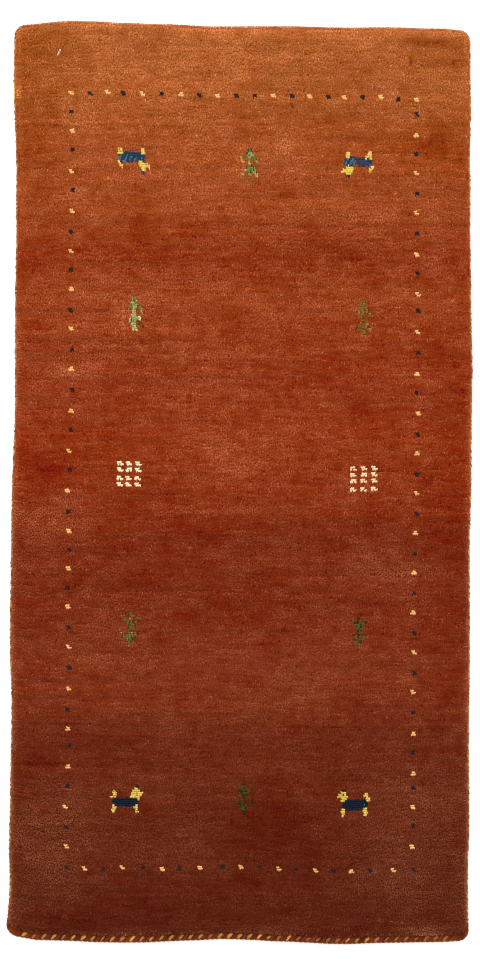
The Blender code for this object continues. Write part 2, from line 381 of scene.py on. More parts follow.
def makeBackWool():
    # the knots seen from behind: two loops a knot in each row, with painted shade in the dips between the
    # loops and between the rows
    material, tree, shader, where = newWool("wovenBack", "back")
    _, hair, relief = wool["back"]
    knots = newNode(tree, "ShaderNodeUVMap", uv_map="weave").outputs[0]
    across, along, _ = newNode(tree, "ShaderNodeSeparateXYZ", {0: knots}).outputs
    loops = maths(tree, "MULTIPLY", ripples(tree, across, 2), ripples(tree, along, 1))
    mottle, _ = fibres(tree, where, hair)
    # painted shade: the tone falls to half in the dips of the loops
    tone = maths(tree, "MULTIPLY", remap(tree, loops, 0, 1, 0.5), remap(tree, mottle, 0.3, 0.7, 0.8, 1.2))
    tree.links.new(scaleColour(tree, fieldDye(tree, where), tone), shader.inputs["Base Color"])
    addRelief(tree, shader, loops, relief, 0.8)
    return material


def makeYarnWool(name):
    # whipped or plied yarn whose dye and tone are on the mesh
    material, tree, shader, where = newWool(name, "yarn")
    colour = scaleColour(tree, attribute(tree, "dyed", "Color"), attribute(tree, "tone"))
    finishWool(tree, shader, where, colour, "yarn")
    return material


pile = {
    "endPitch": 1.6,      # two yarn ends a knot, side by side
    "rowPitch": 3.2,
    "ends": 434,
    "rows": 434,
    "top": 13.6,
    "rowTop": 698.4,      # the uppermost row
    "fade": 60,
    "waves": [(0.45, 310, 520, 0.10), (0.35, -190, 270, 0.45), (0.25, 900, 120, 0.70)],
    "outline": {"side": 2.6, "lower": 13.9, "upper": 0.0, "radius": 13.4},
    # distance in from the outline, and the height of the tips there
    "rim": [(0, 9.5), (1.3, 11.6), (5.0, 12.9), (10.7, 13.6)],
    "leastRoom": 1.9,     # nearest that a tuft of the pile stands to the outline
    "lean": 5.4,
    "leanAtRim": 0.35,    # share of the lean that is left there
    "sideLean": 3.6,
    "lowerLean": 3.0,
    "leanFade": (14, 10),  # in from the sides and from the lower end
    "stray": (0.6, 1.5),  # how far a tip strays across and along
    "figured": (0.35, 1.35),  # a figure's tufts: share of the stray, and how much broader
    "knotTone": 0.02,
    "pieces": 4,
    # unevenness of tone: cells down and across the rug, strength; the coarser rows are the dye's
    # unevenness, the last two, a cell to each row of knots, are streaks of painted light and painted shade
    # where the rows part
    "unevenness": [(14, 7, 0.028), (28, 14, 0.035), (60, 30, 0.042), (110, 55, 0.045), (216, 108, 0.045),
                   (433, 24, 0.060), (433, 46, 0.050)],
    # a lighter strip along the edges, where the tips part: how far in, and the share along each side
    "edge": {"reach": 12.0, "share": [(-700, 0.75), (-200, 0.65), (50, 0.5), (300, 0.25), (700, 0.2)],
             "upperReach": 16.0, "upperShare": 0.28, "lowerReach": 24.0, "lowerShare": 0.16,
             "bleached": 0.2},
}
# soft lighter and darker places, partly uneven dye and partly painted light and shade where the pile's lean
# changes: centre, reach across and along, share
patches = [
    (-320, 568, 45, 130, -0.17), (-302, 672, 45, 26, -0.20), (314, 664, 30, 20, -0.15),
    (317, 520, 27, 46, -0.14), (265, 520, 70, 22, -0.14), (50, 520, 50, 30, 0.08),
    (-198, 451, 92, 4, -0.10), (-165, 420, 30, 22, -0.11), (92, 413, 153, 5, 0.10),
    (161, 398, 191, 3, -0.08), (-150, 372, 90, 26, -0.11), (0, 282, 330, 6, 0.08),
    (-302, 248, 27, 4, -0.10), (-137, 248, 15, 4, -0.10), (192, 248, 53, 4, -0.10),
    (300, 225, 36, 30, -0.13), (-262, 176, 30, 20, 0.10), (150, 175, 55, 20, -0.09),
    (-255, 168, 34, 12, 0.12), (192, 149, 145, 4, -0.12), (196, 102, 60, 30, -0.13),
    (-258, 49, 100, 45, -0.13), (1, 42, 8, 23, 0.08), (-20, 29, 30, 20, 0.12), (322, 30, 30, 120, -0.15),
    (-309, 24, 31, 19, -0.20), (-165, -21, 30, 20, -0.10), (-34, -42, 88, 4, 0.22),
    (-34, -70, 110, 22, -0.08), (-290, -95, 50, 45, 0.14), (225, -132, 78, 42, 0.20),
    (329, -205, 15, 80, -0.10), (-209, -218, 50, 30, 0.10), (315, -300, 30, 45, -0.16),
    (-115, -367, 26, 18, 0.18), (-230, -462, 110, 16, 0.12), (54, -512, 40, 26, -0.15),
    (-285, -560, 60, 66, 0.50), (253, -575, 55, 85, 0.34), (30, -575, 70, 50, -0.10),
    (-270, -658, 80, 20, -0.17), (0, -661, 350, 15, -0.06), (-342, -664, 16, 26, 0.42),
    (270, -468, 60, 20, 0.17), (-95, -562, 45, 40, 0.18), (-312, -418, 26, 18, -0.20),
    (-213, -270, 24, 16, 0.14), (342, -640, 12, 70, 0.20), (281, -683, 27, 8, 1.4),
    (-183, 253, 1.7, 28, 0.30), (-155, -684, 40, 6, 0.55), (40, -684, 38, 6, 0.55),
    # a bleached knot, specks of lint, and creases drawn as lines of painted shade
    (-341, 597, 3, 6, 0.60), (-156, 545, 1.5, 1.5, 1.0), (216, -663, 1.5, 1.5, 1.6),
    (233, -665, 1.5, 1.5, 1.6), (-263, -660, 1.5, 1.5, 1.6), (258, 650, 2.6, 6, -0.55),
    (323, 648, 1.8, 6, -0.45), (287, 678.5, 42, 5, -0.42),
]
tuft = {
    "tipWidth": 1.9,
    "rootWidth": 2.6,
    "width": (0.85, 1.15),    # share of the tip's width
    "turn": 0.35,             # radians
    "cut": (0.34, -0.9, 0.7),  # unevenness of the shearing, and its limits
    "lowest": 2.5,
    "rootHeight": 6.0,
    "tone": 0.05,
    "dark": (0.05, 0.74),     # how many, and their tone
    "bleached": 0.04,
    "bleach": (1.15, 1.5),
    "figured": 0.5,           # share of the tone that a figure's tufts keep
}
# the tufts round the pile's outline
rim = {
    "rings": [(1.3, 11.4, 3.4), (0.7, 10.5, 3.2), (0.2, 9.6, 2.8)],    # distance in, tips' height, lean
    "pitch": 1.7,
    "upward": 0.8,            # every tip leans up the rug by so much
    "overBand": 3.2,          # how far the fringe of the pile lies out over the band, with its spread
    "overSpread": (0.1, 1.35),
    "drop": 4.5,
    "stray": (0.4, 0.4),
    "tone": 0.86,
    "clump": (7, 0.16),       # tufts in a clump, and its spread of tone
    "lowerEnd": -680,
    "lowerSpread": 0.18,
    "bleached": (0.24, 0.10),  # how many at the lower end and elsewhere
    "bleach": (1.15, 1.7),
}
pileLeft = -(pile["ends"] - 1) / 2 * pile["endPitch"] * mm
pileTop = pile["rowTop"] * mm


def softNoise(cellsDown, cellsAcross):
    # seeded random numbers on a coarse grid over the pile, eased from one to the next both ways
    def shares(count, cells):
        at = np.linspace(0, cells, count)
        first = np.minimum(at.astype(int), cells - 1)
        table = np.zeros((count, cells + 1))
        table[np.arange(count), first] = 1 - ease(at - first)
        table[np.arange(count), first + 1] = ease(at - first)
        return table

    grid = np.random.default_rng(cellsDown + cellsAcross).normal(0, 1, (cellsDown + 1, cellsAcross + 1))
    if cellsDown < pile["rows"] / 4:
        grid -= grid.mean(axis=1, keepdims=True)
    return shares(pile["rows"], cellsDown) @ grid @ shares(pile["ends"], cellsAcross).T


def patchTones(x, y):
    # one plus each patch's share times a bell of the squared distance
    tone = np.ones_like(x)
    for centreX, centreY, reachX, reachY, share in patches:
        away = ((x / mm - centreX) / reachX) ** 2 + ((y / mm - centreY) / reachY) ** 2
        tone *= 1 + share * np.exp(-0.7 * away)
    return tone


def pileTones(x, y):
    # the patches times the unevenness: the dye's, and streaks of painted light and shade along the rows
    tone = patchTones(x, y)
    for cellsDown, cellsAcross, strength in pile["unevenness"]:
        tone *= np.exp(strength * softNoise(cellsDown, cellsAcross))
    return tone


def pileLumps(x, y):
    # long low sine waves, summed, which ease out towards the rug's edge
    height = np.zeros_like(x)
    for tall, across, along, phase in pile["waves"]:
        height += tall * mm * np.sin(2 * np.pi * (x / (across * mm) + y / (along * mm) + phase))
    fromRim = np.minimum(rug["halfWidth"] - np.abs(x), rug["halfLength"] - np.abs(y))
    return height * ease(fromRim / (pile["fade"] * mm))


def pileBox():
    outline = pile["outline"]
    return (outline["side"] * mm - rug["halfWidth"], rug["halfWidth"] - outline["side"] * mm,
            outline["lower"] * mm - rug["halfLength"], rug["halfLength"] - outline["upper"] * mm)


def pileRoom(x, y):
    # distance in from the pile's outline, a rectangle with round corners: in a corner the radius
    # less the distance from the corner's centre, elsewhere the distance to the nearest edge
    left, right, bottom, top = pileBox()
    radius = pile["outline"]["radius"] * mm
    outX = x - np.clip(x, left + radius, right - radius)
    outY = y - np.clip(y, bottom + radius, top - radius)
    straight = np.minimum(np.minimum(x - left, right - x), np.minimum(y - bottom, top - y))
    return np.where((outX != 0) & (outY != 0), radius - np.hypot(outX, outY), straight)


def pileLean(x, y):
    # how far a tip stands from its root: up the rug inside, and outwards near the edges
    left, right, bottom, _ = pileBox()
    sideFade, lowerFade = pile["leanFade"]
    atLeft, atRight = 1 - ease((x - left) / (sideFade * mm)), 1 - ease((right - x) / (sideFade * mm))
    atBottom = 1 - ease((y - bottom) / (lowerFade * mm))
    inside = np.clip(1 - atLeft - atRight - atBottom, 0, 1)
    kept = pile["leanAtRim"] + (1 - pile["leanAtRim"]) * inside
    return (pile["sideLean"] * mm * (atRight - atLeft),
            pile["lean"] * mm * kept - pile["lowerLean"] * mm * atBottom)


def edgeTones(x, y):
    # how near the side or lower edge is, and one plus each edge's share; both ease out with the
    # distance in from the edge
    edge = pile["edge"]
    sideAt, sideShare = np.array(edge["share"]).T
    atSide = 1 - ease((rug["halfWidth"] - np.abs(x)) / (edge["reach"] * mm))
    atUpper = 1 - ease((rug["halfLength"] - y) / (edge["upperReach"] * mm))
    atLower = 1 - ease((rug["halfLength"] + y) / (edge["lowerReach"] * mm))
    tone = (1 + np.interp(y / mm, sideAt, sideShare) * atSide + edge["upperShare"] * atUpper
            + edge["lowerShare"] * atLower)
    return np.maximum(atSide, atLower), tone


def tuftMesh(name, tips, leans, cells, drop, stray, broad):
    # each tuft is a closed wedge with four faces: a root edge along the rug, a tip edge across it
    # turned by a few degrees; its two root points are the tip's place less the lean, set apart by
    # the root's width, and its two tip points are set apart by the tip's width
    x, y, z = tips
    leanX, leanY = leans
    count = len(x)
    turn = rng.normal(0, tuft["turn"], count)
    x = x + rng.uniform(-1, 1, count) * stray[0] * mm
    y = y + rng.uniform(-1, 1, count) * stray[1] * mm
    uneven, least, most = tuft["cut"]
    z = z + np.clip(rng.normal(0, uneven, count), least, most) * mm
    halfTip = tuft["tipWidth"] * mm / 2 * broad * rng.uniform(*tuft["width"], count)
    halfRoot = tuft["rootWidth"] * mm / 2 * broad
    tipX, tipY = halfTip * np.cos(turn), halfTip * np.sin(turn)
    rootX, rootY, rootZ = x - leanX, y - leanY, np.maximum(z - drop, tuft["lowest"] * mm)
    planX, planY = toPlan(np.stack([rootX, rootX, x - tipX, x + tipX], axis=1),
                          np.stack([rootY - halfRoot, rootY + halfRoot, y - tipY, y + tipY], axis=1))
    points = np.stack([planX, planY, np.stack([rootZ, rootZ, z, z], axis=1)], axis=2).reshape(-1, 3)
    pattern = np.array([0, 1, 3, 0, 2, 1, 0, 3, 2, 1, 2, 3])
    mesh = repeatedMesh(name, points, pattern, 4)
    # the bake's map gives each tuft a cell of its own, root at its left and tip at its right
    cellX, cellY, wide, high = cells
    u = np.stack([cellX + share * wide for share in (0.1, 0.1, 0.9, 0.9)], axis=1)
    v = np.stack([cellY + share * high for share in (0.1, 0.9, 0.1, 0.9)], axis=1)
    addMap(mesh, "OFBake", np.stack([u[:, pattern], v[:, pattern]], axis=2).reshape(-1, 2))
    mesh.shade_smooth()
    return mesh


# the figures are charted with a letter for each yarn end, a line for each row of knots
yarns = {
    "Y": (208, 180, 82), "P": (228, 188, 118), "N": (32, 60, 78), "B": (72, 102, 126), "V": (56, 62, 98),
    "n": (14, 36, 52), "K": (36, 28, 18), "D": (62, 74, 28), "G": (92, 122, 62), "g": (104, 168, 104),
    "L": (140, 156, 96), "l": (178, 160, 102), "o": (126, 98, 48), "d": (78, 58, 22), "C": (238, 218, 176),
    "c": (218, 174, 106), "k": (42, 38, 40), "e": (200, 148, 70), "m": (96, 100, 44), "r": (122, 118, 58),
    "q": (150, 120, 62), "w": (196, 196, 136), "p": (230, 202, 160), "s": (226, 204, 180),
}
figures = {
    # the chart's upper left corner on the true rectangle, how light its dyes are, and its rows
    "mend": ((-346.4, 602.6), 1.0, "e.. ee. ee. eee ee. e.."),
    "lint": ((-282.1, 656.7), 1.0, "..s .s. s.."),
    "goatUpperLeft": ((-192.7, 508.1), 1.0, """
.Y.PP..................PPP
.Y.YY..................YYP
PYYYYYNNNNNNNNNNNNNNNNNYYYY
.NNBNNNNNBNNNNNNNNNNNNNNNNN
.BBBNNNNBNNNBBNNNNVVNNNBNNN
.BBNNNNBBNNBNNNNBBVVVNNBNN
PPNNN.BBNNNNNNN..NNNYYYYNN
.YY.................YYYYYYY.P
..YYY................YYYYYYYYYP
....P..................PPYY...P
........................PYY
.......................NNN
........................NNN
"""),
    "goatUpperRight": ((150.6, 509.3), 1.0, """
......PPP..................PPP
.....YYYY.................PPPP
.....YYYYNNNN...........YYYYYY
....NNBBNNNBBNNNNNNNNNNNPNNDYP
...BNBNNNBBBNBBVNDNVVVVVVVNNNN
...NBBNNNBNNBBNNNDNVVVVVVVVVNN
.....NNPNNNN.....NNNNNNNNNNNB
.....YYYYYYY.................PPP
..PYYYYYYYYY...............YYYP
PPPYYYYYYYY................YY
.....YYYYY
.....KKKN
"""),
    "goatLowerLeft": ((-195.4, -461.1), 1.0, """
........................nnn
.......................YYY
...Y.................YYYYYYY
..YYYY..............YYYYYLYYYYP
...PYY..............YYYYYoYYYY
PYY.P..............PYYYLYYYY
...nnnnnnnnnnnnnnnnnnnnnnnYP
..nnnnnnnnnnnnnnnnnnnnnnnnn
...nnnnnnnnnnnnnnnnnnnnnnnn
..PPnnnnnnnnnnnnnnnnnnnnPY
..YYYP................PYYP
.PYYY...................YP
..PP....................Y.P
"""),
    "goatLowerRight": ((150.1, -464.6), 1.0, """
....KKKK
...YYYYP
.YYYYKYY..................PYY
YYYYYYYYYP...............YYYY
....YYYYP..................YYYY
...YYYPnnnnnnnnnnnnnnnnnnnnnYYY
.....nnnnnnnnnnnnnnnnnnnnnnnn
.....nnnnnnnnnnnnnnnnnnnnBnnn
....nnnnnnnnnnnnnnnnnnnnnnnn
....YYPnnnnnnnnnnnnnnnn..YYY
...YYYP.................YYYY
....YYY..................YYYY
....PP...................PYP
"""),
    "treeTop": ((-4.4, 513.4), 0.82, """
........DGDD
........DGGD
......DDLLLlo
....oo.LGGLLloo
ll.ooo..LLLDoGGo
.lo.oo..oo..oGGD
..ll....l.o....ll
...o....PP.....ooo
.......oGGDD
......DLGGoLDl
....llLGgGDLDGL
...o..oGGD.oLLLD
.lll....LL....l.l
.oo.....o......ll
........oo
.........oo
"""),
    "treeUpperLeft": ((-177.8, 283.9), 1.0, """
......GGG
......LDDl
.....lLLGG
...ooDLGGLoo
..ooo.LLLL.DGG
..oo..LLG....oGo
.ooo..lGl.....lo
.D....lLL......l
.....lLLl
......lGLLLlww
...wDDLGLLGGww
...wD.LDL..dd
..o..wLLL...ddd
.....olGw......dd
......LLLL.....dd
......wL.ww
"""),
    "treeUpperRight": ((170.6, 282.6), 0.92, """
.......oDo
.......oDq
......ommo
.....oormmmro
....oo.oo..mrD
....qq..ro..rrD
.o.o...rr.....qq
.DDo....Dm....oo.q
........DD
........mm
......q.DD.oo
....mm..mm.qqq
..DDmm..rm.q.DD
.DDo....DD....qqq
.D......oo.....q
......D.oooD
"""),
    "treeLowerLeft": ((-179.8, -196.4), 0.76, """
.......DGoo
o.o...DD.ooo
.oDo....l.o....oooo
..ooo.o.oo
....DGG.DG..DGG
......oDDG.o.D
.......DG..oD
......DD.o.oo
.......oDDD
lDG....oo.l..o.dd
.DG....GGo...GG
..GGG.GGGoD..DD
....DGgDGGDD
.......oDD
.......o.o.o
.......l
"""),
    "treeLowerRight": ((168.6, -202.0), 0.52, """
......DDDo
Do....DD.o...ooo
.o.DD.nD.o..oddd
...o..GGGD
....oDGGGDDG
......oGDGGG
......DDo
......DDoo
..dd...DDD....d
.oo...DD...oGG
..DDDGGD....GG
....o.GGDDD.D
......GG.D
......Do
......oD
......D
"""),
    "treeBottom": ((-6.9, -458.8), 0.4, """
.......DDDD
.......o.oo....ooo
.......oDDo.....Dd
...DDDDDGGDDoGG
...DooDDoo.o.oD
......oDDDDDD
........DDo.o
.ooo....DoD....oDD
..oo.D..oDD.....DD
....DDDGD....Do
.....DDGDDoo.D
......DGGGDDo
......oGGGo
........DD
........ddd
.........DD
........D.o
"""),
}
border = {
    # the dots' middles on the true rectangle, and their colours in turn
    "top": [
        (-261, 590), (-233, 590), (-206, 592), (-182, 592), (-152, 594), (-123, 594), (-94, 593),
        (-66, 593), (-37, 594), (-9, 593), (19, 593), (47, 592), (76, 593), (103, 592), (131, 592),
        (157, 592), (184, 591), (212, 591), (239, 590), (266, 590)],
    "bottom": [
        (-262, -588), (-234, -587), (-207, -587), (-177, -586), (-146, -586), (-116, -587), (-89, -589),
        (-59, -588), (-24, -589), (4, -589), (32, -589), (62, -588), (88, -589), (118, -588), (144, -587),
        (173, -588), (201, -589), (236, -589), (266, -589)],
    "left": [
        (-263, 561), (-262, 532), (-263, 502), (-264, 471), (-262, 441), (-263, 410), (-265, 379),
        (-264, 349), (-264, 319), (-263, 290), (-265, 261), (-263, 230), (-262, 200), (-263, 169),
        (-263, 138), (-263, 107), (-264, 77), (-265, 46), (-263, 15), (-264, -16), (-262, -46),
        (-262, -76), (-261, -106), (-261, -133), (-262, -162), (-262, -192), (-260, -223), (-260, -254),
        (-260, -284), (-262, -316), (-264, -348), (-263, -378), (-260, -402), (-262, -434), (-263, -464),
        (-264, -495), (-264, -527), (-262, -557)],
    "right": [
        (266, 566), (267, 536), (268, 505), (266, 476), (267, 445), (266, 415), (268, 383), (267, 352),
        (268, 322), (268, 293), (268, 265), (267, 233), (266, 202), (265, 171), (265, 141), (268, 109),
        (266, 77), (266, 49), (266, 18), (266, -11), (267, -43), (266, -73), (266, -104), (265, -135),
        (264, -166), (264, -195), (265, -226), (265, -257), (265, -287), (264, -318), (264, -350),
        (265, -380), (265, -410), (265, -441), (264, -465), (264, -492), (264, -522), (263, -553)],
    "colours": {"top": "ckckckckckkckckckckc", "bottom": "kckckckckckckckckck", "left": "kc" * 19,
                "right": "kc" * 19},
    "shapes": {"c": [[".ooo.", "ooooo"], ["oooo.", ".oooo"], ["ooo..", ".oooo"]],
               "k": [["oooo", "oooo"], [".ooo", "oooo"], ["oooo.", ".oooo"]]},
    "corner": {"c": (-3.4, 3.6), "k": (-2.6, 3.6)},    # a dot's upper left corner from its middle
}
dashes = {
    "lines": 4, "columns": 3,
    "shapes": [["oooo..", ".ooooo"], [".ooooo", "ooo.oo"], ["oooo..", "oo.ooo"]],
    "left": {"x": -189.6, "y": 32.2, "step": 13.5, "pitch": 10.2, "yarn": "C"},
    "right": {"x": 165.6, "y": 30.2, "step": 16.0, "pitch": 10.5, "yarn": "p"},
}


def stamp(chart, corner, lines, light=None, share=1.0):
    # writes the letters over the chart, all but the dots, and their share of light
    firstEnd = int(round((corner[0] * mm - pileLeft) / (pile["endPitch"] * mm)))
    firstRow = int(round((pileTop - corner[1] * mm) / (pile["rowPitch"] * mm)))
    for row, line in enumerate(lines, firstRow):
        letters = np.frombuffer(line.encode(), dtype=np.uint8)
        part = chart[row, firstEnd:firstEnd + len(letters)]
        part[letters != ord(".")] = letters[letters != ord(".")]
        if light is not None:
            light[row, firstEnd:firstEnd + len(letters)] = share


def makeChart():
    # a letter's number for each yarn end, 0 where the field's dye shows, and how light its dye is
    chart = np.zeros((pile["rows"], pile["ends"]), dtype=np.uint8)
    light = np.ones(chart.shape)
    for corner, share, lines in figures.values():
        stamp(chart, corner, lines.split(), light, share)
    for side, letters in border["colours"].items():
        for (x, y), letter in zip(border[side], letters):
            shape = border["shapes"][letter][rng.integers(3)]
            cornerX, cornerY = border["corner"][letter]
            stamp(chart, (x + cornerX, y + cornerY), [line.replace("o", letter) for line in shape])
    for block in (dashes["left"], dashes["right"]):
        for line in range(dashes["lines"]):
            for column in range(dashes["columns"]):
                shape = dashes["shapes"][rng.integers(3)]
                stamp(chart, (block["x"] + column * block["step"], block["y"] - line * block["pitch"]),
                      [row.replace("o", block["yarn"]) for row in shape])
    return chart, light


def yarnDyes(letters):
    # the dye of each letter as light, and black where there is none
    table = np.zeros((256, 3))
    table[list(map(ord, yarns))] = dyes(yarns.values()) * wool["gain"]
    return table[letters]


def tuftTones(letters, tone):
    # the given tone times the tuft's own; a few tufts are dark or bleached
    count = len(letters)
    tone = np.exp(rng.normal(0, tuft["tone"], count)) * tone
    howMany, dark = tuft["dark"]
    tone[rng.random(count) < howMany] *= dark
    tone *= np.where(rng.random(count) < tuft["bleached"], rng.uniform(*tuft["bleach"], count), 1.0)
    # figures keep more of their own dye
    return np.where(letters > 0, 1 + tuft["figured"] * (tone - 1), tone)


def addTufts(mesh, material, letters, dyed, tone):
    # four points a tuft, the first two at its root
    addValues(mesh, dyed=np.repeat(dyed, 4, axis=0), figured=np.repeat(letters > 0, 4),
              tone=np.repeat(tone, 4), fromRoot=np.tile([0, 0, 1, 1], len(tone)))
    return addPiece(mesh.name, mesh, material, "pile_field")


def makePile(material):
    # a tuft for each yarn end, in strips side by side
    x, y = np.meshgrid(pileLeft + np.arange(pile["ends"]) * pile["endPitch"] * mm,
                       pileTop - np.arange(pile["rows"]) * pile["rowPitch"] * mm)
    room = pileRoom(x, y)
    chart, light = makeChart()
    rimAt, rimHigh = np.array(pile["rim"]).T * mm
    z = np.interp(room, rimAt, rimHigh) + pileLumps(x, y)
    leanX, leanY = pileLean(x, y)
    knotTone = np.exp(rng.normal(0, pile["knotTone"], (pile["rows"], pile["ends"] // 2)))
    atEdge, edgeTone = edgeTones(x, y)
    tones = np.repeat(knotTone, 2, axis=1) * pileTones(x, y) * edgeTone
    lessStray, broader = pile["figured"]
    pieces = []
    for number, part in enumerate(np.array_split(np.arange(pile["ends"]), pile["pieces"])):
        row, column = np.nonzero(room[:, part] > pile["leastRoom"] * mm)
        at = row, part[column]
        wide, high = 1 / len(part), 1 / pile["rows"]
        letters = chart[at]
        mesh = tuftMesh(f"pileStrip{number + 1}", (x[at], y[at], z[at]), (leanX[at], leanY[at]),
                        (column * wide, row * high, wide, high), (pile["top"] - tuft["rootHeight"]) * mm,
                        np.where(letters > 0, lessStray, 1.0) * np.array(pile["stray"])[:, None],
                        np.where(letters > 0, broader, 1.0))
        tone = tuftTones(letters, tones[at])
        isBleached = rng.random(len(tone)) < pile["edge"]["bleached"] * atEdge[at]
        tone = np.where(isBleached, tone * rng.uniform(*tuft["bleach"], len(tone)), tone)
        pieces.append(addTufts(mesh, material, letters, yarnDyes(letters) * light[at][:, None], tone))
    print("tufts", sum(len(piece.data.polygons) for piece in pieces) // 4)
    return pieces, chart, x, y


def makePileRim(material):
    # rings of tufts round the pile's outline, a rectangle with a quarter circle at each corner, which
    # lean out over the cords, the band and the upper end
    left, right, bottom, top = pileBox()
    corners = np.array([(right, bottom), (right, top), (left, top), (left, bottom)])
    turn = ((np.arange(4) - 1) * np.pi / 2)[:, None] + np.linspace(0, np.pi / 2, 12)
    facing = np.stack([np.cos(turn), np.sin(turn)], axis=2)
    gathered = []
    for inset, high, out in rim["rings"]:
        radius = (pile["outline"]["radius"] - inset) * mm
        centres = corners - np.sign(corners) * (radius + inset * mm)
        path = np.concatenate([centres[:, None] + radius * facing, facing], axis=2).reshape(-1, 4)
        path = np.vstack([path, path[:1]])
        run = np.concatenate([[0], np.cumsum(np.linalg.norm(np.diff(path[:, :2], axis=0), axis=1))])
        count = int(run[-1] / (rim["pitch"] * mm))
        at = np.linspace(0, run[-1], count, endpoint=False)
        x, y, outX, outY = (np.interp(at, run, line) for line in path.T)
        over = np.clip(-outY, 0, 1) * rim["overBand"] * mm * rng.uniform(*rim["overSpread"], count)
        gathered.append(np.stack([x, y - over, np.full(count, high * mm), outX * out * mm,
                                  outY * out * mm + rim["upward"] * mm - over], axis=1))
    x, y, z, leanX, leanY = np.concatenate(gathered).T
    count = len(x)
    across = int(math.ceil(math.sqrt(count)))
    cell, wide = np.arange(count), 1 / across
    cells = cell % across / across, cell // across / across, wide, wide
    mesh = tuftMesh("pileRim", (x, y, z), (leanX, leanY), cells, rim["drop"] * mm, rim["stray"], 1.0)
    letters = np.zeros(count, dtype=np.uint8)
    tone = tuftTones(letters, edgeTones(x, y)[1])
    # in clumps, and at the lower end with many bleached tips
    clump, spread = rim["clump"]
    knots = np.arange(0, count + clump, clump)
    clumps = np.interp(cell, knots, rng.normal(0, spread, len(knots)))
    isLower = y < rim["lowerEnd"] * mm
    isBleached = rng.random(count) < np.where(isLower, *rim["bleached"])
    tone *= rim["tone"] * (1 + clumps) * np.where(isBleached, rng.uniform(*rim["bleach"], count), 1.0)
    tone *= np.exp(rng.normal(0, rim["lowerSpread"], count) * isLower) * patchTones(x, y)
    return addTufts(mesh, material, letters, yarnDyes(letters), tone)


# the ground that the tufts stand in
ground = {
    # height, and how far the level stands in at the sides, the lower end and the upper end
    "levels": [(0.5, 7.45, 13.45, 4.05), (7.4, 7.45, 13.45, 4.05), (7.8, 5.6, 14.6, 2.6),
               (8.9, 5.2, 14.8, 2.2), (9.3, 8.0, 18.0, 6.0)],
    "sharp": 40,              # degrees
    "knotBack": (0.75, 1.45, 0.45, 0.9),    # half width, half length, middle height and height of a loop
    "knotBackUp": 0.05,
    "knotBackTone": (0.8, 1.1),
}


def makeGround(topMaterial, backMaterial):
    # stacked rim loops between a flat underside and a top that follows the pile's lumps
    levels = [(level[0], *planGrid(*level[1:])) for level in ground["levels"]]
    points, flat = [], []
    for high, x, y in levels[1:-1]:
        rimX, rimY = rimOf(x), rimOf(y)
        points.append(np.stack([*toPlan(rimX, rimY), np.full(len(rimX), high * mm)], axis=1))
        flat.append(np.stack([rimX, rimY], axis=1))
    for (high, x, y), lumps in ((levels[0], 0), (levels[-1], 1)):
        points.append(np.stack([*toPlan(x, y), high * mm + lumps * pileLumps(x, y)], axis=2).reshape(-1, 3))
        flat.append(np.stack([x, y], axis=2).reshape(-1, 2))
    middle = len(levels) - 2
    under = middle * rimStations + np.arange((columns + 1) * (rows + 1)).reshape(columns + 1, rows + 1)
    top = under + under.size
    rims = [rimOf(under), *(np.arange(middle * rimStations).reshape(middle, rimStations)), rimOf(top)]
    quads = [np.stack([low, np.roll(low, -1), np.roll(high, -1), high], axis=1)
             for low, high in zip(rims[:-1], rims[1:])]
    for grid, order in ((top, [0, 1, 2, 3]), (under, [0, 3, 2, 1])):
        cells = np.stack([grid[:-1, :-1], grid[1:, :-1], grid[1:, 1:], grid[:-1, 1:]], axis=2)
        quads.append(cells[:, :, order].reshape(-1, 4))
    faceMaterial = np.repeat([0, 1], [sum(map(len, quads[:-1])), len(quads[-1])])
    quads = np.concatenate(quads)
    mesh = makeMesh("pileGround", np.concatenate(points), quads.ravel(), np.arange(0, quads.size, 4))
    flat = np.concatenate(flat)[quads.ravel()]
    addMap(mesh, "weave", flat / np.array([2 * pile["endPitch"] * mm, pile["rowPitch"] * mm]))
    mesh.materials.append(topMaterial)
    mesh.shade_smooth()
    mesh.set_sharp_from_angle(angle=math.radians(ground["sharp"]))
    piece = addPiece("pileGround", mesh, backMaterial, "pile_field")
    mesh.polygons.foreach_set("material_index", faceMaterial.astype(np.int32))
    return piece


def makeKnotBacks(material, chart, x, y):
    # behind each figured knot two small closed loops show on the underside: eight-sided beads
    at = np.nonzero(chart)
    planX, planY = toPlan(x[at], y[at] - pile["lean"] * mm)
    count = len(planX)
    wide, long, middle, high = ground["knotBack"]
    shape = np.array([(-wide, 0, middle), (0, -long, middle), (wide, 0, middle), (0, long, middle),
                      (0, 0, ground["knotBackUp"]), (0, 0, high)]) * mm
    points = (np.stack([planX, planY, 0 * planX], axis=1)[:, None, :] + shape[None]).reshape(-1, 3)
    pattern = np.array([0, 1, 5, 1, 2, 5, 2, 3, 5, 3, 0, 5, 1, 0, 4, 2, 1, 4, 3, 2, 4, 0, 3, 4])
    mesh = repeatedMesh("knotBacks", points, pattern, 6)
    addValues(mesh, dyed=np.repeat(yarnDyes(chart[at]), 6, axis=0),
              tone=np.repeat(rng.uniform(*ground["knotBackTone"], count), 6))
    mesh.shade_smooth()
    return addPiece("knotBacks", mesh, material, "pile_field")


def atStation(loop, station):
    # points on a rim loop at station numbers that may be fractions
    closed = np.vstack([loop, loop[:1]])
    turn = np.arange(rimStations + 1)
    station = np.mod(station, rimStations)
    return np.stack([np.interp(station, turn, closed[:, axis]) for axis in (0, 1)], axis=1)


def smoothSection(section, steps):
    # a closed curve through the section's points: even steps along a Catmull-Rom spline
    shape = np.array(section)
    at = np.arange(steps) / steps * len(shape)
    first = np.floor(at).astype(int)
    t = (at - first)[:, None]
    p0, p1, p2, p3 = (shape[(first + shift) % len(shape)] for shift in (-1, 0, 1, 2))
    curve = 0.5 * (2 * p1 + (p2 - p0) * t + (2 * p0 - 5 * p1 + 4 * p2 - p3) * t ** 2
                   + (3 * p1 - p0 - 3 * p2 + p3) * t ** 3)
    return curve[:, 0], np.maximum(curve[:, 1], 0)


